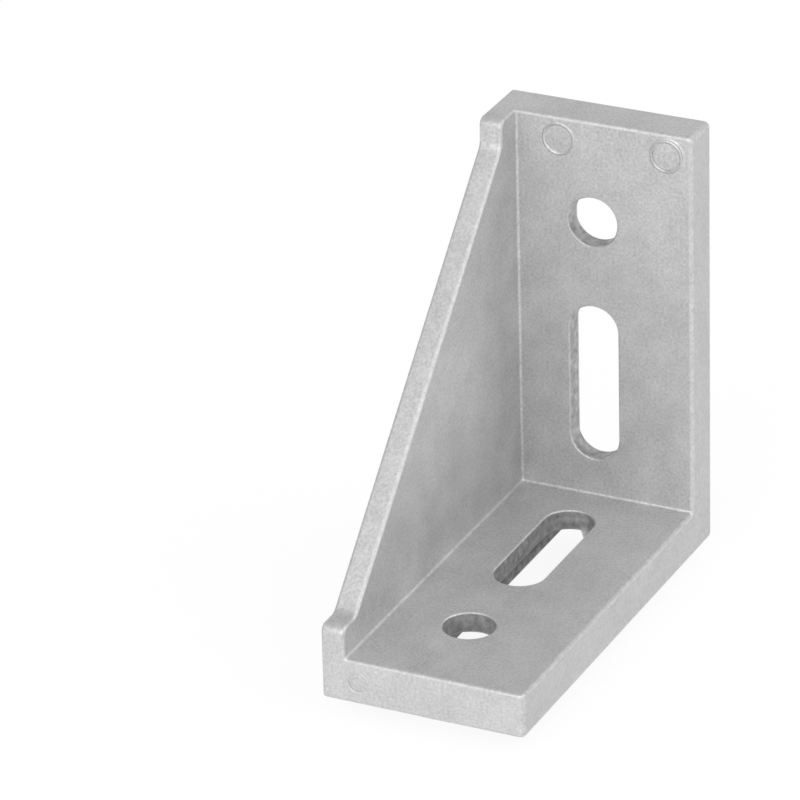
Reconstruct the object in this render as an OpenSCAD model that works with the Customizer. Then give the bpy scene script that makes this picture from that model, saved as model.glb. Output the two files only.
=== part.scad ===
// Die-cast corner bracket for slotted framing: two equal legs at a right angle and
// one triangular side plate. It is one casting.
// +Z up. The origin is the outer corner where both seating planes meet, at mid width.
// The foot lies along +X on the plane z = 0, the upright leg along +Z on the plane x = 0.
// The side plate stands at -Y, and the open side faces +Y.

/* [Legs] */
// Length of each leg from the outer corner to its free end
leg_len = 78; // [74:0.5:90]
// Width of the bracket across the legs
leg_w = 36.5; // [34:0.5:44]
// Thickness of each leg, from its seating plane to its inner face
leg_t = 8; // [7:0.25:10]
// Radius of the fillets where the legs and the side plate meet
root_r = 0.5; // [0.3:0.1:1.5]
// Radius of the casting's outer corner edge, where the seating planes meet
corner_r = 0.9; // [0.3:0.1:1.8]
// Radius of the upright edges at the free ends, on the open side
end_r = 1.1; // [0.4:0.1:2]

/* [Side plate] */
// Thickness of the triangular side plate
plate_t = 4.3; // [3:0.1:6]
// Rise of the plate's end tabs above the inner face of the leg
tab_rise = 5.6; // [4:0.1:8]
// Length of the flat land on each end tab
tab_len = 4.8; // [4:0.1:7]
// Radius of each tab's outer corner
tab_r = 1.6; // [0.6:0.1:2.5]
// Radius of the hollow where a tab's land turns into the slanted edge
hollow_r = 2.5; // [1:0.1:4]

/* [Bolt holes] */
// Width of the bolt slots and diameter of the bolt holes
bolt_d = 9; // [7:0.1:10.5]
// Distance from the corner to the middle of the slot's first end
slot_from = 19.3; // [18:0.1:23]
// Distance from the corner to the middle of the slot's second end
slot_to = 39.3; // [34:0.1:44]
// Distance from the corner to the middle of the round hole
hole_at = 59.5; // [56:0.1:63]
// Width of the bevel round the mouth of each hole and slot
mouth_bevel = 0.2; // [0.1:0.05:0.6]

/* [Channel in the seat] */
// Width of the channel that runs along the middle of each seat
channel_w = 12.6; // [11.5:0.1:14]
// Depth of the channel below the seating plane
channel_depth = 4.3; // [3:0.1:5]
// Distance from the corner to the start of the channel
channel_from = 6.8; // [6:0.1:10]
// Solid length between the end of the channel and the free end
channel_margin = 6.4; // [5:0.1:8]
// Radius along the foot of the channel's side walls
channel_r = 1.2; // [0.5:0.1:1.6]

/* [Pockets in the seat] */
// Depth of the pockets beside the channel
pocket_depth = 4; // [2.5:0.1:5]
// Thickness of the walls between the channel and the pockets
channel_wall = 2.75; // [2:0.05:3.5]
// Width of the rim along the sides of the seat
side_rim = 3.5; // [2.5:0.1:4.5]
// Width of the rim at the corner
corner_rim = 3.3; // [2.5:0.1:4.5]
// Width of the rim at the free end
end_rim = 3.9; // [2.5:0.1:5]
// Thickness of the cross ribs between the pockets
cross_rib_t = 3.6; // [2.5:0.1:4.5]
// Distance from the corner to the middle of the first cross rib
first_rib_at = 30.6; // [26:0.2:36]
// Distance from the corner to the middle of the second cross rib
second_rib_at = 60.6; // [55:0.2:65]
// Draft angle of the walls of the channel and pockets, in degrees
draft = 3; // [1:0.5:5]

/* [Lugs] */
// Width of a lug at its root, which fits the profile's slot
lug_w = 7.6; // [6:0.1:9]
// Height of a lug above the seating plane
lug_h = 3; // [2:0.1:4]
// Length of a lug along the slot, at its root
lug_len = 2.4; // [2:0.1:3.2]
// Slope inwards of a lug's two sides, over its height
lug_side_slope = 1; // [0.4:0.1:1.6]
// Slope inwards of a lug's outer face, over its height
lug_face_slope = 1; // [0.4:0.1:1.4]

/* [Ejector pin marks] */
// Diameter of the two marks on the upright leg's inner face, at the crest of their rings
pin_d = 5.5; // [4:0.1:6]
// Depth of the disc inside each ring
pin_depth = 0.1; // [0.05:0.05:0.3]
// Width of the raised ring of flash round each mark
flash_w = 0.6; // [0.3:0.1:0.8]
// Height of the rings on the upright leg
flash_h = 0.2; // [0.1:0.05:0.3]
// Distance from the middle of both marks to the leg's free end
pin_from_end = 4.1; // [3.8:0.1:6]
// Distance from the first mark's middle to the side plate's inner face
pin_from_plate = 7.85; // [4:0.05:9]
// Distance from the second mark's middle to the open side
pin_from_side = 4.7; // [4:0.1:7]
// Shift of the second print of the ring near the open side
reprint_shift = 0.55; // [0.2:0.05:0.8]
// Diameter of the mark on the foot's end face, at the crest of its ring
end_pin_d = 3.8; // [2:0.1:4.4]
// Height of that ring
end_flash_h = 0.1; // [0.05:0.05:0.2]
// Distance from the middle of that mark to the outer face of the side plate
end_pin_from_plate = 6.5; // [4:0.1:9]

/* [Hidden] */
$fn = 64;
half_w = leg_w / 2;
plate_in = -half_w + plate_t;
tab_top = leg_t + tab_rise;
tab_foot = leg_len - tab_len;
channel_to = leg_len - channel_margin;
pocket_in = channel_w / 2 + channel_wall;
pocket_out = half_w - side_rim;
draft_run = tan(draft);
wall_t = leg_t - channel_depth;
pin_z = leg_len - pin_from_end;
first_pin_y = plate_in + pin_from_plate;
second_pin_y = half_w - pin_from_side;
end_pin_y = -half_w + end_pin_from_plate;
// Overlap that lets a cut run out past the surface it starts from
past = 1;

// The profile drawn in X and Z, carried across the width from y0 to y1.
module across(y0, y1) {
    translate([0, y1, 0])
        rotate([90, 0, 0])
            linear_extrude(y1 - y0)
                children();
}

// The section drawn in Y and Z, carried along X from x0 to x1.
module along(x0, x1) {
    translate([x0, 0, 0])
        rotate([90, 0, 90])
            linear_extrude(x1 - x0)
                children();
}

// The same feature on the other leg: X and Z change places.
module on_both_legs() {
    children();
    mirror([1, 0, -1])
        children();
}

// What lies between the two sides of a corner and an arc of radius r that touches
// both. It fills a hollow corner, or is cut from a sharp one. One side lies along
// +X and the other is turned by the angle between them.
module corner_web(r, angle = 90) {
    reach = r / tan(angle / 2);
    difference() {
        polygon([[0, 0], [reach, 0], [reach * cos(angle), reach * sin(angle)]]);
        translate([reach, r])
            circle(r);
    }
}

// Side view of the two legs, with the fillet in the inner corner.
module legs_profile() {
    difference() {
        union() {
            square([leg_len, leg_t]);
            square([leg_t, leg_len]);
            translate([leg_t, leg_t])
                corner_web(root_r);
        }
        corner_web(corner_r);
    }
}

// One end tab's outline against the slanted edge, seen from the side: the hollow is
// filled in and the outer corner is rounded off.
module tab_hollow() {
    translate([tab_foot, tab_top])
        corner_web(hollow_r, 135);
}

module tab_corner() {
    translate([leg_len, tab_top])
        rotate(180)
            corner_web(tab_r);
}

// The same shape mirrored about the line at 45 degrees.
module both_ends() {
    children();
    mirror([1, -1])
        children();
}

// Side view of the triangular plate, with its two end tabs.
module plate_profile() {
    difference() {
        union() {
            polygon([
                [0, 0], [leg_len, 0], [leg_len, tab_top], [tab_foot, tab_top],
                [tab_top, tab_foot], [tab_top, leg_len], [0, leg_len]
            ]);
            both_ends()
                tab_hollow();
        }
        corner_web(corner_r);
        both_ends()
            tab_corner();
    }
}

// Fillet along the foot of the side plate, and a ball-shaped hollow in the corner
// where the plate meets both legs.
module root_fillets() {
    on_both_legs()
        translate([0, plate_in, leg_t])
            along(leg_t, leg_len)
                corner_web(root_r);
    translate([leg_t, plate_in, leg_t])
        difference() {
            cube(root_r);
            translate([root_r, root_r, root_r])
                sphere(root_r);
        }
}

// Rounding of the upright edge at the free end of the foot, on the open side.
module end_edge() {
    translate([leg_len, half_w, -past])
        rotate(180)
            linear_extrude(leg_t + 2 * past)
                corner_web(end_r);
}

// A recess in the foot's seat with drafted walls, from x0 to x1 and y0 to y1 at the
// seating plane. near_run is how far its wall on the corner's side slopes in.
module recess(x0, x1, y0, y1, depth, near_run) {
    run = depth * draft_run;
    intersection() {
        across(y0 - past, y1 + past)
            polygon([
                [x0, -past], [x0, 0], [x0 + near_run, depth],
                [x1 - run, depth], [x1, 0], [x1, -past]
            ]);
        along(x0 - past, x1 + past)
            polygon([
                [y0, -past], [y0, 0], [y0 + run, depth],
                [y1 - run, depth], [y1, 0], [y1, -past]
            ]);
    }
}

// The three pockets on one side of the channel. The first has a wall at 45 degrees
// towards the corner, so that the two legs share a solid wedge there.
module pocket_row() {
    first_end = first_rib_at - cross_rib_t / 2;
    second_start = first_rib_at + cross_rib_t / 2;
    second_end = second_rib_at - cross_rib_t / 2;
    third_start = second_rib_at + cross_rib_t / 2;
    run = pocket_depth * draft_run;
    recess(corner_rim, first_end, pocket_in, pocket_out, pocket_depth, pocket_depth);
    recess(second_start, second_end, pocket_in, pocket_out, pocket_depth, run);
    recess(third_start, leg_len - end_rim, pocket_in, pocket_out, pocket_depth, run);
}

// The channel along the middle of the seat, with a radius along its side walls' feet.
// Each wall leans out by the draft, so it meets the floor at more than a right angle.
module channel() {
    run = channel_depth * draft_run;
    floor_half = channel_w / 2 - run;
    difference() {
        recess(channel_from, channel_to, -channel_w / 2, channel_w / 2, channel_depth, run);
        for (side = [0, 1])
            mirror([0, side, 0])
                along(channel_from - past, channel_to + past)
                    translate([floor_half, channel_depth])
                        rotate(180)
                            corner_web(channel_r, 90 + draft);
    }
}

// A round through hole along Z, with a bevelled mouth at the inner face.
module bolt_hole(x) {
    bevel_from = leg_t - mouth_bevel;
    translate([x, 0, channel_depth - past])
        cylinder(h = wall_t + 2 * past, d = bolt_d);
    translate([x, 0, bevel_from])
        cylinder(h = mouth_bevel + past, r1 = bolt_d / 2, r2 = bolt_d / 2 + mouth_bevel + past);
}

// The straight stretch of the slot between its two round ends.
module slot_middle() {
    half = bolt_d / 2;
    flare = mouth_bevel + past;
    along(slot_from, slot_to)
        polygon([
            [-half, channel_depth - past], [half, channel_depth - past],
            [half, leg_t - mouth_bevel], [half + flare, leg_t + past],
            [-half - flare, leg_t + past], [-half, leg_t - mouth_bevel]
        ]);
}

// A lug that keys into the profile's slot: its straight face is at x and its sloping
// one is turned the way that dir gives.
module lug(x, dir) {
    top_half = lug_w / 2 - lug_side_slope;
    intersection() {
        across(-lug_w / 2 - past, lug_w / 2 + past)
            polygon([
                [x, past], [x, -lug_h],
                [x + dir * (lug_len - lug_face_slope), -lug_h],
                [x + dir * lug_len, 0], [x + dir * lug_len, past]
            ]);
        along(x - lug_len - past, x + lug_len + past)
            polygon([
                [-lug_w / 2, past], [-lug_w / 2, 0], [-top_half, -lug_h],
                [top_half, -lug_h], [lug_w / 2, 0], [lug_w / 2, past]
            ]);
    }
}

// Everything that is cut out of the foot.
module leg_cuts() {
    channel();
    pocket_row();
    mirror([0, 1, 0])
        pocket_row();
    bolt_hole(hole_at);
    bolt_hole(slot_from);
    bolt_hole(slot_to);
    slot_middle();
    end_edge();
}

// The raised ring that an ejector pin leaves round its mark, on the face at x.
module pin_ring(x, y, z, d, h) {
    translate([x, y, z])
        rotate([0, 90, 0])
            rotate_extrude()
                translate([d / 2, 0])
                    polygon([
                        [-flash_w / 2, -past], [-flash_w / 2, 0], [0, h],
                        [flash_w / 2, 0], [flash_w / 2, -past]
                    ]);
}

// The shallow disc inside such a ring, cut out of the face at x.
module pin_disc(x, y, z, d) {
    translate([x - pin_depth, y, z])
        rotate([0, 90, 0])
            cylinder(h = pin_depth + past, d = d - flash_w);
}

// The rings of the three pins. The one near the open side was printed twice, the
// second time shifted towards the leg's free corner.
module pin_rings() {
    shift = reprint_shift / sqrt(2);
    pin_ring(leg_t, first_pin_y, pin_z, pin_d, flash_h);
    pin_ring(leg_t, second_pin_y, pin_z, pin_d, flash_h);
    pin_ring(leg_t, second_pin_y + shift, pin_z + shift, pin_d, flash_h);
    pin_ring(leg_len, end_pin_y, leg_t / 2, end_pin_d, end_flash_h);
}

module pin_discs() {
    pin_disc(leg_t, first_pin_y, pin_z, pin_d);
    pin_disc(leg_t, second_pin_y, pin_z, pin_d);
    pin_disc(leg_len, end_pin_y, leg_t / 2, end_pin_d);
}

module bracket() {
    color("silver")
        difference() {
            union() {
                across(-half_w, half_w)
                    legs_profile();
                across(-half_w, plate_in)
                    plate_profile();
                root_fillets();
                pin_rings();
                on_both_legs() {
                    lug(channel_from, -1);
                    lug(channel_to, 1);
                }
            }
            on_both_legs()
                leg_cuts();
            pin_discs();
        }
}

bracket();
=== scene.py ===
"""The looks of a die-cast corner bracket: its tumbled edges, its cast surface and a plain pale studio.

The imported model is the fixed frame: +X runs along the foot, +Z up the upright leg, and the open side
faces +Y. Lengths are in metres.
"""

import math

import bmesh
import bpy
import numpy as np
from mathutils import Matrix, Vector


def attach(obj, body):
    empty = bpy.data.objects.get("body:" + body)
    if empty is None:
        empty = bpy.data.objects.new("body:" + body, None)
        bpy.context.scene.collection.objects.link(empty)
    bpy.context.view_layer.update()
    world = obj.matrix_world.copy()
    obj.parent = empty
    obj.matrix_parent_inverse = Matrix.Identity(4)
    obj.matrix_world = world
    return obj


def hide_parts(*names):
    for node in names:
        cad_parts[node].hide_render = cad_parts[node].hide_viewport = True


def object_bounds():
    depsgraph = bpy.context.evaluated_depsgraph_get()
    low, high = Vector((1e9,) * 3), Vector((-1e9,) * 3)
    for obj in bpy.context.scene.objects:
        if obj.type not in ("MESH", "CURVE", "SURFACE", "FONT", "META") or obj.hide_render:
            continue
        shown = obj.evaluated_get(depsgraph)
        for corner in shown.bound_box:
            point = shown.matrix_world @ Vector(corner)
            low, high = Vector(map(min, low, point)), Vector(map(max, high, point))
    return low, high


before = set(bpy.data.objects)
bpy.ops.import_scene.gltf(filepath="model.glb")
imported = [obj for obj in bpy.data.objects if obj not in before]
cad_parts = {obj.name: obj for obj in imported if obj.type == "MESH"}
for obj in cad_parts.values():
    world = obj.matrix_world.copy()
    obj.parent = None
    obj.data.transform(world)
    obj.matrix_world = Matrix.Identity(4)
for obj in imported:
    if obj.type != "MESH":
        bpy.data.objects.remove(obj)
cad_low, cad_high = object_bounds()

bl_info = {
    "name": "Die-cast corner bracket",
    "version": (1, 0, 0),
    "blender": (4, 5, 0),
    "location": "3D View > Sidebar > Bracket",
    "description": "Finishes the packed bracket as tumbled die-cast aluminium in a plain studio",
    "category": "Object",
}

MM = 0.001
NODE = "bracket"
PIECE = "die_cast_bracket"
BODY = "root"
# The foot's seat faces -Z and the upright leg's faces -X.
SEAT_NORMALS = (Vector((0, 0, -1)), Vector((-1, 0, 0)))
# A face lies in a seat if its normal's share along the seat's normal is over this.
IN_SEAT = 0.999
# A wall faces sideways if its normal's share along Y is over this.
SIDEWAYS = 0.9
# Corners that lie closer together than this are one.
ONE_CORNER = 0.001 * MM
# Neighbouring faces that turn less than this are one flat face.
ONE_FACE = math.radians(0.3)
# How exactly a face has to lie in the plane of the open side.
SLACK = 0.01 * MM
# The casting's materials, in the order of its slots.
# The bore, channel and open-side materials carry painted shade, and the free ends' material painted light.
SKIN, WORN, BORE_FINISH_AND_SHADE, SHADED_CHANNEL, SHADED_SIDE, LIT_END = range(6)


# Colours and nodes

def linear(hex_colour):
    """An sRGB hex colour as linear red, green and blue, with alpha 1: each channel c of 0 to 1 becomes
    c / 12.92 up to 0.04045, and ((c + 0.055) / 1.055) to the power of 2.4 above it."""
    channels = [int(hex_colour[i:i + 2], 16) / 255 for i in (1, 3, 5)]
    return [c / 12.92 if c <= 0.04045 else ((c + 0.055) / 1.055) ** 2.4 for c in channels] + [1.0]


WHITE = linear("#FFFFFF")


def add(tree, kind, inputs=(), **settings):
    """Adds one node. settings are its own properties. inputs maps a socket's name or number to its
    value, or to what is linked to it: another node's output, or a node, for that node's first output."""
    node = tree.nodes.new(kind)
    for name, value in settings.items():
        setattr(node, name, value)
    for key, value in dict(inputs).items():
        source = value.outputs[0] if isinstance(value, bpy.types.Node) else value
        if isinstance(source, bpy.types.NodeSocket):
            tree.links.new(source, node.inputs[key])
        else:
            node.inputs[key].default_value = source
    return node


def new_material(name):
    """A new material, its node tree, and the object coordinates, which are all that the tree holds."""
    material = bpy.data.materials.new(name)
    material.use_nodes = True
    material.node_tree.nodes.clear()
    place = add(material.node_tree, "ShaderNodeTexCoord").outputs["Object"]
    return material, material.node_tree, place


def metal(tree, colour, roughness, height, depth):
    """Bare metal of a colour and roughness, with a relief: the height of 0 to 1, depth deep."""
    relief = add(tree, "ShaderNodeBump", {"Height": height, "Strength": 1.0, "Distance": depth})
    shader = add(tree, "ShaderNodeBsdfPrincipled", {
        "Base Color": colour, "Metallic": 1.0, "Roughness": roughness, "Normal": relief})
    add(tree, "ShaderNodeOutputMaterial", {"Surface": shader})


# Sizes and colours that a user would change

class CastingProperties(bpy.types.PropertyGroup):
    edge_radius: bpy.props.FloatProperty(
        name="Edge radius",
        description="Radius that tumbling left on the casting's outer edges",
        default=0.65 * MM, min=0.1 * MM, max=0.8 * MM, unit="LENGTH", precision=5,
    )
    rim_radius: bpy.props.FloatProperty(
        name="Rim radius",
        description="Radius of the edges of the ribs and rims that the bracket sits on",
        default=0.3 * MM, min=0.1 * MM, max=0.5 * MM, unit="LENGTH", precision=5,
    )
    rim_margin: bpy.props.FloatProperty(
        name="Rim margin",
        description="How far inside the outline of a seat an edge belongs to a rib or rim",
        default=1.2 * MM, min=0, max=2 * MM, unit="LENGTH", precision=5,
    )
    hollow_radius: bpy.props.FloatProperty(
        name="Hollow radius",
        description="Radius in the hollow corners of the pockets",
        default=0.6 * MM, min=0.1 * MM, max=1 * MM, unit="LENGTH", precision=5,
    )
    narrow_share: bpy.props.FloatProperty(
        name="Share of a narrow face",
        description="Largest share of a narrow face that one rounding takes",
        default=0.3, min=0.1, max=0.45, subtype="FACTOR",
    )
    least_face: bpy.props.FloatProperty(
        name="Least face",
        description="Width of the narrowest face whose edges are rounded; arcs have narrower facets",
        default=0.4 * MM, min=0.1 * MM, max=1 * MM, unit="LENGTH", precision=5,
    )
    edge_angle: bpy.props.FloatProperty(
        name="Sharp edge",
        description="Angle between two faces above which their edge is rounded",
        default=math.radians(30), subtype="ANGLE",
    )
    edge_segments: bpy.props.IntProperty(
        name="Edge segments",
        description="Facets across a rounded edge",
        default=3, min=1, max=6,
    )
    pocket_middle: bpy.props.FloatProperty(
        name="Middle of the pockets",
        description="Distance of the pockets' middle lines from the bracket's middle plane",
        default=11.9 * MM, min=0, unit="LENGTH", precision=5,
    )
    pin_line: bpy.props.FloatProperty(
        name="Line through the pin mark",
        description="Distance from the middle plane of a line that crosses the first pin mark but no bore",
        default=4.8 * MM, min=0, unit="LENGTH", precision=5,
    )
    bore_from: bpy.props.FloatProperty(
        name="Start of the bores",
        description="Height over the seating plane where the bores start, just past the channel's floor",
        default=4.31 * MM, min=0, unit="LENGTH", precision=5,
    )
    bore_to: bpy.props.FloatProperty(
        name="End of the bores",
        description="Height over the seating plane where the bores end and their bevels start",
        default=7.85 * MM, min=0, unit="LENGTH", precision=5,
    )
    bore_half: bpy.props.FloatProperty(
        name="Reach of the bores",
        description="Distance from the middle plane inside which the bolt openings lie",
        default=4.6 * MM, min=0, unit="LENGTH", precision=5,
    )
    channel_half: bpy.props.FloatProperty(
        name="Reach of the channel",
        description="Distance from the middle plane inside which the side walls of the foot's channel lie",
        default=6.35 * MM, min=0, unit="LENGTH", precision=5,
    )
    end_margin: bpy.props.FloatProperty(
        name="End margin",
        description="How far behind the farthest point of a leg its free end still begins",
        default=0.25 * MM, min=0, max=1 * MM, unit="LENGTH", precision=5,
    )
    grain_size: bpy.props.FloatProperty(
        name="Grain size",
        description="Size of the grains that the blasted surface shows",
        default=0.5 * MM, min=0.1 * MM, max=2 * MM, unit="LENGTH", precision=5,
    )
    mottle_size: bpy.props.FloatProperty(
        name="Mottle size",
        description="Size of the widest of the faint patches on the cast skin",
        default=8 * MM, min=0.5 * MM, max=20 * MM, unit="LENGTH", precision=4,
    )
    grain_depth: bpy.props.FloatProperty(
        name="Grain depth",
        description="Depth of the relief of the blasted surface",
        default=0.016 * MM, min=0, max=0.2 * MM, unit="LENGTH", precision=5,
    )
    side_share: bpy.props.FloatProperty(
        name="Share on the open side",
        description="Share of the grain's depth that the smoother open side has",
        default=0.4, min=0, max=1, subtype="FACTOR",
    )
    end_share: bpy.props.FloatProperty(
        name="Share on the free ends",
        description="Share of the grain's depth that the legs' free ends have",
        default=0.7, min=0, max=1, subtype="FACTOR",
    )
    skin_colour: bpy.props.FloatVectorProperty(
        name="Skin colour",
        description="Colour of the darker patches of the cast skin",
        default=linear("#BEBEBE"), size=4, subtype="COLOR", min=0, max=1,
    )
    grain_colour: bpy.props.FloatVectorProperty(
        name="Grain colour",
        description="Colour of the paler patches of the cast skin, the free ends and the bolt openings",
        default=linear("#DCDCDC"), size=4, subtype="COLOR", min=0, max=1,
    )
    # Painted shade: the open side's paler patches are a shade darker than the grain colour.
    side_shade_colour: bpy.props.FloatVectorProperty(
        name="Side colour",
        description="Colour of the paler patches on the open side",
        default=linear("#CCCCCC"), size=4, subtype="COLOR", min=0, max=1,
    )
    # Painted light: the free ends' darker patches are paler than the skin colour, which also gives them less
    # grain.
    end_light_colour: bpy.props.FloatVectorProperty(
        name="End colour",
        description="Colour of the darker patches on the legs' free ends",
        default=linear("#C3C3C3"), size=4, subtype="COLOR", min=0, max=1,
    )
    worn_colour: bpy.props.FloatVectorProperty(
        name="Worn colour",
        description="Colour of the metal that tumbling laid bare along the edges",
        default=linear("#D9D9D9"), size=4, subtype="COLOR", min=0, max=1,
    )
    # The bore colour is partly the as-cast finish and partly painted shade inside the openings.
    bore_finish_and_shade_colour: bpy.props.FloatVectorProperty(
        name="Bore colour",
        description="Colour of the darker patches on the walls of the bolt openings, which tumbling misses",
        default=linear("#8E8E8E"), size=4, subtype="COLOR", min=0, max=1,
    )
    # Painted shade: the side walls of the foot's channel are drawn dark for the shade that falls under the
    # foot.
    channel_shade_colour: bpy.props.FloatVectorProperty(
        name="Channel colour",
        description="Colour of the darker patches on the side walls of the foot's channel",
        default=linear("#6A6A6A"), size=4, subtype="COLOR", min=0, max=1,
    )


class StudioProperties(bpy.types.PropertyGroup):
    floor_width: bpy.props.FloatProperty(
        name="Floor width",
        description="Length of each side of the floor",
        default=6.0, min=1.0, max=20.0, unit="LENGTH",
    )
    floor_colour: bpy.props.FloatVectorProperty(
        name="Floor colour",
        description="Colour of the light table's milk glass, where no light comes from below",
        default=linear("#626262"), size=4, subtype="COLOR", min=0, max=1,
    )
    floor_glow: bpy.props.FloatProperty(
        name="Floor glow",
        description="Brightness of the light table from below",
        default=0.88, min=0, max=3,
    )
    # The mask is a painted shadow of the foot on the light table, where the glow falls to mask_glow.
    mask_low: bpy.props.FloatVectorProperty(
        name="Mask from",
        description="Corner of the dark sheet under the foot that keeps light off the foot's openings",
        default=(8 * MM, -3 * MM), size=2, unit="LENGTH", precision=4,
    )
    mask_high: bpy.props.FloatVectorProperty(
        name="Mask to",
        description="The opposite corner of the dark sheet",
        default=(70 * MM, 6.5 * MM), size=2, unit="LENGTH", precision=4,
    )
    mask_fade: bpy.props.FloatProperty(
        name="Mask fade",
        description="Width of the border of the dark sheet, where it fades out",
        default=1 * MM, min=0.1 * MM, max=5 * MM, unit="LENGTH", precision=5,
    )
    mask_glow: bpy.props.FloatProperty(
        name="Mask glow",
        description="What the dark sheet lets through of the light from below",
        default=0.12, min=0, max=3,
    )
    dome_strength: bpy.props.FloatProperty(
        name="Dome strength",
        description="Brightness of the white dome round the studio",
        default=0.715, min=0, max=3,
    )
    camera_place: bpy.props.FloatVectorProperty(
        name="Camera place",
        description="Where the camera stands",
        default=(0.8498, 0.3784, 0.4805), size=3, unit="LENGTH", precision=4,
    )
    camera_aim: bpy.props.FloatVectorProperty(
        name="Camera aim",
        description="The point that lies in the middle of the picture",
        default=(0.0079, -0.0371, 0.0191), size=3, unit="LENGTH", precision=4,
    )
    camera_roll: bpy.props.FloatProperty(
        name="Camera roll",
        description="Turn of the camera about its line of sight",
        default=math.radians(-1.57), subtype="ANGLE",
    )
    camera_lens: bpy.props.FloatProperty(
        name="Lens",
        description="Focal length of the camera, on its 36 mm sensor",
        default=270.7, min=50, max=500, subtype="DISTANCE_CAMERA",
    )


# The casting

def cut_lengthwise(surface, height):
    """Cuts every face along the plane where y is height, and marks the cuts as seams."""
    normal = Vector((0, 1, 0))
    parts = surface.verts[:] + surface.edges[:] + surface.faces[:]
    cut = bmesh.ops.bisect_plane(
        surface, geom=parts, plane_co=height * normal, plane_no=normal, dist=ONE_CORNER)
    for part in cut["geom_cut"]:
        if isinstance(part, bmesh.types.BMEdge):
            part.seam = True


def room_beside(edge):
    """How far the narrower of an edge's two faces reaches from it: for each face, the longest distance
    of its corners from the edge's line, measured in the face."""
    reach = []
    along = (edge.verts[1].co - edge.verts[0].co).normalized()
    for face in edge.link_faces:
        across = face.normal.cross(along)
        reach.append(max(abs((corner.co - edge.verts[0].co).dot(across)) for corner in face.verts))
    return min(reach)


def on_rim(edge, look):
    """Whether an edge lies in a seating plane and rim_margin inside the planes of the bracket's sides
    and of its legs' free ends."""
    middle = (edge.verts[0].co + edge.verts[1].co) / 2
    inside = min(cad_high.y - abs(middle.y), cad_high.x - middle.x, cad_high.z - middle.z)
    if inside <= look.rim_margin:
        return False
    return any(face.normal.dot(axis) > IN_SEAT for face in edge.link_faces for axis in SEAT_NORMALS)


def rounding_of(edge, look):
    """The rounding's width on one edge: nothing where the faces turn less than edge_angle or one of
    them is narrower than least_face, else the hollow radius where the faces form a hollow, the rim
    radius on the ribs and rims of a seat, or the edge radius, and never more than narrow_share of the
    narrower face."""
    turn = edge.calc_face_angle_signed(0)
    room = room_beside(edge)
    if abs(turn) < look.edge_angle or room < look.least_face:
        return 0.0
    wanted = look.edge_radius
    if turn < 0:
        wanted = look.hollow_radius
    elif on_rim(edge, look):
        wanted = look.rim_radius
    return min(wanted, look.narrow_share * room)


def widest_rounding(look):
    """The width of the roundings where the bevel weight is 1."""
    return max(look.edge_radius, look.hollow_radius, look.rim_radius)


def material_of(face, look):
    """The material of a face, by where its middle lies. The walls of the bolt openings lie inside a leg,
    between the channel's floor and the inner face, and no further from the middle plane than bore_half.
    The side walls of the foot's channel face sideways and lie below them, inside channel_half. The open
    side and the free ends lie in the outer planes of the bracket."""
    middle = face.calc_center_median()
    off_middle = abs(middle.y)
    # The walls of the bolt openings get the as-cast finish with painted shade.
    if look.bore_from < min(middle.x, middle.z) < look.bore_to and off_middle < look.bore_half:
        return BORE_FINISH_AND_SHADE
    # The side walls of the foot's channel carry painted shade.
    if 0 < middle.z < look.bore_from and off_middle < look.channel_half and abs(face.normal.y) > SIDEWAYS:
        return SHADED_CHANNEL
    # The open side gets smoother grain and painted shade.
    if middle.y > cad_high.y - SLACK:
        return SHADED_SIDE
    # The free ends get less grain and painted light.
    if max(middle.x - cad_high.x, middle.z - cad_high.z) > -look.end_margin:
        return LIT_END
    return SKIN


def merged_mesh(source, name, look):
    """A copy of a CAD node's mesh as one closed surface: its loose triangles share their corners, and
    the triangles of one flat face become one polygon, which the lengthwise cuts keep free of holes. Each
    edge gets its share of the widest rounding as its bevel weight, and each face its material's
    number."""
    mesh = source.data.copy()
    mesh.name = name
    mesh.materials.clear()
    surface = bmesh.new()
    surface.from_mesh(mesh)
    bmesh.ops.remove_doubles(surface, verts=surface.verts, dist=ONE_CORNER)
    for height in (-look.pocket_middle, -look.pin_line, 0.0, look.pocket_middle):
        cut_lengthwise(surface, height)
    bmesh.ops.dissolve_limit(
        surface, angle_limit=ONE_FACE, verts=surface.verts, edges=surface.edges, delimit={"SEAM"})
    weight = surface.edges.layers.float.new("bevel_weight_edge")
    widest = widest_rounding(look)
    for edge in surface.edges:
        edge[weight] = rounding_of(edge, look) / widest
        edge.smooth = edge[weight] > 0 or edge.calc_face_angle(0) < look.edge_angle
    for face in surface.faces:
        face.smooth = True
        face.material_index = material_of(face, look)
    surface.to_mesh(mesh)
    surface.free()
    return mesh


def tumbled_piece(name, mesh, look):
    """A piece with the mesh, whose edges are rounded by their bevel weights. The roundings get the worn
    material, and flat faces keep an even shade."""
    piece = bpy.data.objects.new(name, mesh)
    bpy.context.scene.collection.objects.link(piece)
    rounding = piece.modifiers.new("tumbled edges", "BEVEL")
    rounding.width = widest_rounding(look)
    rounding.segments = look.edge_segments
    rounding.limit_method = "WEIGHT"
    rounding.use_clamp_overlap = False
    rounding.loop_slide = False
    rounding.material = WORN
    shading = piece.modifiers.new("even shading", "WEIGHTED_NORMAL")
    shading.keep_sharp = True
    return piece


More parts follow.
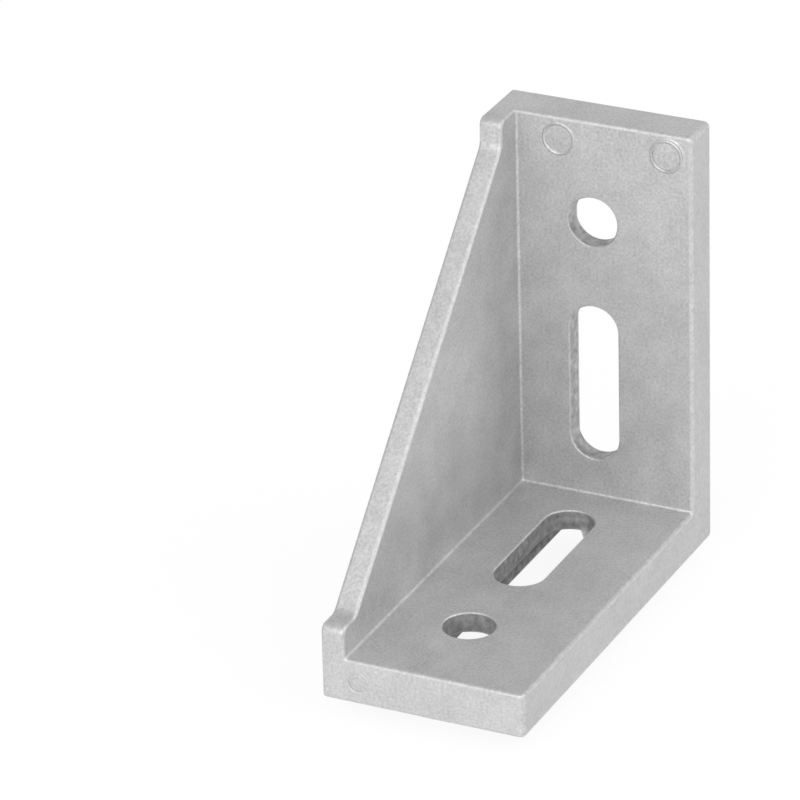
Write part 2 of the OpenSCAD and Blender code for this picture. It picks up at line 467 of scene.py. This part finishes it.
def cast_skin(look, name, dark, pale, depth):
    """Die-cast aluminium, blasted and tumbled: a grey skin that is matt all over, with faint patches
    from dark to pale, of every size from some millimetres down to the grain, and a relief of a depth.
    The marks of the grit are about 0.1 mm wide, too fine to show, so the grain is drawn coarser."""
    material, tree, place = new_material(name)
    grain = add(tree, "ShaderNodeTexNoise", {
        "Vector": place, "Scale": 1 / look.grain_size, "Detail": 1.0})
    mottle = add(tree, "ShaderNodeTexNoise", {
        "Vector": place, "Scale": 1 / look.mottle_size, "Detail": 5.0, "Roughness": 0.75})
    mottle_weight = 1.5
    both = add(tree, "ShaderNodeMath", {0: mottle, 1: mottle_weight, 2: grain}, operation="MULTIPLY_ADD")
    share = add(tree, "ShaderNodeMapRange", {"Value": both, "From Min": 0.8, "From Max": 1.7})
    mixed = add(tree, "ShaderNodeMix", {"Factor": share, "A": list(dark), "B": list(pale)}, data_type="RGBA")
    roughness = add(tree, "ShaderNodeMapRange", {
        "Value": grain, "From Min": 0.3, "From Max": 0.7, "To Min": 0.62, "To Max": 0.5})
    metal(tree, mixed.outputs["Result"], roughness, height=both, depth=depth)
    return material


def worn_edge(look):
    """The same aluminium where tumbling rubbed the skin off: paler and less matt, in a ragged band."""
    material, tree, place = new_material("tumbled_aluminium_edge")
    grain = add(tree, "ShaderNodeTexNoise", {
        "Vector": place, "Scale": 1 / look.grain_size, "Detail": 1.0})
    patch_size = 3 * look.grain_size
    patches = add(tree, "ShaderNodeTexNoise", {
        "Vector": place, "Scale": 1 / patch_size, "Detail": 3.0, "Roughness": 0.8})
    both = add(tree, "ShaderNodeMath", {0: grain, 1: patches}, operation="ADD")
    share = add(tree, "ShaderNodeMapRange", {"Value": both, "From Min": 0.6, "From Max": 1.3})
    colours = {"Factor": share, "A": list(look.skin_colour), "B": list(look.worn_colour)}
    mixed = add(tree, "ShaderNodeMix", colours, data_type="RGBA")
    metal(tree, mixed.outputs["Result"], roughness=0.5, height=both, depth=look.grain_depth)
    return material


def bore_skin_with_painted_shade(look, name, dark, pale):
    """Walls as they left the die, where tumbling doesn't reach: rougher and blotchy, with a dark colour that
    is painted shade, in part on the bolt openings and wholly in the foot's channel.
    """
    material, tree, place = new_material(name)
    blotch_size = 3 * look.grain_size
    blotches = add(tree, "ShaderNodeTexNoise", {
        "Vector": place, "Scale": 1 / blotch_size, "Detail": 3.0, "Roughness": 0.6})
    share = add(tree, "ShaderNodeMapRange", {"Value": blotches, "From Min": 0.25, "From Max": 0.75})
    mixed = add(tree, "ShaderNodeMix", {"Factor": share, "A": list(dark), "B": list(pale)}, data_type="RGBA")
    blotch_depth = 3 * look.grain_depth
    metal(tree, mixed.outputs["Result"], roughness=0.6, height=blotches, depth=blotch_depth)
    return material


class BRACKET_OT_casting(bpy.types.Operator):
    """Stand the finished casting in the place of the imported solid"""

    bl_idname = "bracket.casting"
    bl_label = "Casting"

    def execute(self, context):
        look = context.scene.bracket_casting
        mesh = merged_mesh(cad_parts[NODE], PIECE, look)
        piece = tumbled_piece(PIECE, mesh, look)
        # The open side and the free ends show less grain than the rest of the skin; the open side also gets
        # painted shade and the free ends painted light. The walls of the bolt openings are darker, partly as
        # cast and partly painted shade, and the side walls of the foot's channel are the darkest, all
        # painted shade.
        side_depth = look.side_share * look.grain_depth
        end_depth = look.end_share * look.grain_depth
        materials = {
            SKIN: cast_skin(
                look, "die_cast_aluminium", look.skin_colour, look.grain_colour, look.grain_depth),
            WORN: worn_edge(look),
            BORE_FINISH_AND_SHADE: bore_skin_with_painted_shade(look, "as_cast_aluminium_bore_painted_shade", look.bore_finish_and_shade_colour, look.grain_colour),
            SHADED_CHANNEL: bore_skin_with_painted_shade(
                look, "as_cast_aluminium_channel_painted_shade", look.channel_shade_colour, look.skin_colour),
            SHADED_SIDE: cast_skin(
                look, "smooth_aluminium_side_painted_shade", look.skin_colour, look.side_shade_colour, side_depth),
            LIT_END: cast_skin(
                look, "smooth_aluminium_end_painted_light", look.end_light_colour, look.grain_colour, end_depth),
        }
        for number in sorted(materials):
            piece.data.materials.append(materials[number])
        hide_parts(NODE)
        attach(piece, BODY)
        return {"FINISHED"}


# The studio

def flat_grid(name, width, height, steps):
    """A square sheet of steps by steps faces: x and y run from -width / 2 to width / 2, and z is height
    all over."""
    line = np.linspace(-width / 2, width / 2, steps + 1)
    x, y = np.meshgrid(line, line)
    points = np.stack([x, y, np.full_like(x, height)], axis=-1).reshape(-1, 3)
    number = np.arange(points.shape[0]).reshape(steps + 1, steps + 1)
    faces = np.stack([number[:-1, :-1], number[:-1, 1:], number[1:, 1:], number[1:, :-1]], axis=-1)
    mesh = bpy.data.meshes.new(name)
    mesh.from_pydata(points.tolist(), [], faces.reshape(-1, 4).tolist())
    piece = bpy.data.objects.new(name, mesh)
    bpy.context.scene.collection.objects.link(piece)
    return piece


def beyond(tree, place, low, high):
    """How far a place on the floor lies outside the rectangle from low to high, and less than nothing
    inside it: the larger of its distances along x and y."""
    parts = add(tree, "ShaderNodeSeparateXYZ", {0: place}).outputs
    distances = []
    for part, start, end in zip(parts, low, high):
        offset = add(tree, "ShaderNodeMath", {0: part, 1: (start + end) / 2}, operation="SUBTRACT")
        either_side = add(tree, "ShaderNodeMath", {0: offset}, operation="ABSOLUTE")
        past = add(tree, "ShaderNodeMath", {0: either_side, 1: (end - start) / 2}, operation="SUBTRACT")
        distances.append(past)
    return add(tree, "ShaderNodeMath", dict(enumerate(distances)), operation="MAXIMUM")


def light_table(studio):
    """The milk glass top of a light table, which glows white all over, so that the bracket stands on
    white and the openings in its foot look white. Under the foot the glow is dimmed to a painted shadow,
    which the camera doesn't see and which keeps the light off the walls of those openings."""
    material, tree, place = new_material("light_table_glass")
    past_mask = beyond(tree, place, studio.mask_low, studio.mask_high)
    glow = add(tree, "ShaderNodeMapRange", {
        "Value": past_mask, "From Min": 0.0, "From Max": studio.mask_fade,
        "To Min": studio.mask_glow, "To Max": studio.floor_glow})
    shader = add(tree, "ShaderNodeBsdfPrincipled", {
        "Base Color": list(studio.floor_colour), "Roughness": 0.9, "Specular IOR Level": 0.1,
        "Emission Color": WHITE, "Emission Strength": glow})
    add(tree, "ShaderNodeOutputMaterial", {"Surface": shader})
    return material


def aimed(place, aim, roll=0.0):
    """The matrix of a camera or light at place whose -Z axis points at aim, turned by roll about it."""
    sight = (Vector(aim) - Vector(place)).normalized()
    turn = sight.to_track_quat("-Z", "Y").to_matrix().to_4x4()
    return Matrix.Translation(Vector(place)) @ turn @ Matrix.Rotation(roll, 4, "Z")


def softbox(name, azimuth, elevation, distance, width, power):
    """A square area light that looks at the middle of the bracket. The angles are in degrees, and
    azimuth 0 stands at -Y and 90 at +X."""
    light = bpy.data.lights.new(name, "AREA")
    light.shape = "SQUARE"
    light.size = width
    light.energy = power
    middle = (cad_low + cad_high) / 2
    turn = math.radians(azimuth)
    rise = math.radians(elevation)
    away = Vector((math.sin(turn) * math.cos(rise), -math.cos(turn) * math.cos(rise), math.sin(rise)))
    lamp = bpy.data.objects.new(name, light)
    lamp.matrix_world = aimed(middle + distance * away, middle)
    bpy.context.scene.collection.objects.link(lamp)


def white_dome(scene, strength):
    """An even white light from all round, as a photographer's light tent gives."""
    world = bpy.data.worlds.new("light_tent")
    world.use_nodes = True
    world.node_tree.nodes.clear()
    shade = add(world.node_tree, "ShaderNodeBackground", {"Color": WHITE, "Strength": strength})
    add(world.node_tree, "ShaderNodeOutputWorld", {"Surface": shade})
    scene.world = world


class BRACKET_OT_studio(bpy.types.Operator):
    """Set up the floor, the lights and the camera"""

    bl_idname = "bracket.studio"
    bl_label = "Studio"

    def execute(self, context):
        scene = context.scene
        studio = scene.bracket_studio
        floor = flat_grid("studio_floor", width=studio.floor_width, height=cad_low.z, steps=8)
        floor.data.materials.append(light_table(studio))
        white_dome(scene, studio.dome_strength)
        softbox("front_softbox", azimuth=95, elevation=30, distance=0.9, width=0.9, power=3.5)
        softbox("side_softbox", azimuth=190, elevation=35, distance=0.9, width=0.9, power=2.3)
        lens = bpy.data.cameras.new("camera")
        lens.sensor_width = 36.0
        lens.lens = studio.camera_lens
        lens.clip_start = 0.01
        lens.clip_end = 50.0
        camera = bpy.data.objects.new("camera", lens)
        camera.matrix_world = aimed(studio.camera_place, studio.camera_aim, studio.camera_roll)
        scene.collection.objects.link(camera)
        scene.camera = camera
        scene.view_settings.view_transform = "Standard"
        return {"FINISHED"}


class BRACKET_PT_sidebar(bpy.types.Panel):
    """Sizes and colours of the bracket and its studio"""

    bl_idname = "BRACKET_PT_sidebar"
    bl_label = "Corner bracket"
    bl_space_type = "VIEW_3D"
    bl_region_type = "UI"
    bl_category = "Bracket"

    def draw(self, context):
        groups = {"bracket_casting": "bracket.casting", "bracket_studio": "bracket.studio"}
        for group, operator in groups.items():
            values = getattr(context.scene, group)
            box = self.layout.box()
            for name in values.__annotations__:
                box.prop(values, name)
            box.operator(operator)


CLASSES = (
    CastingProperties, StudioProperties, BRACKET_OT_casting, BRACKET_OT_studio, BRACKET_PT_sidebar,
)


def register():
    for one in CLASSES:
        bpy.utils.register_class(one)
    bpy.types.Scene.bracket_casting = bpy.props.PointerProperty(type=CastingProperties)
    bpy.types.Scene.bracket_studio = bpy.props.PointerProperty(type=StudioProperties)


def unregister():
    del bpy.types.Scene.bracket_studio
    del bpy.types.Scene.bracket_casting
    for one in reversed(CLASSES):
        bpy.utils.unregister_class(one)


def main():
    register()
    bpy.ops.bracket.casting()
    bpy.ops.bracket.studio()


if __name__ == "__main__":
    main()
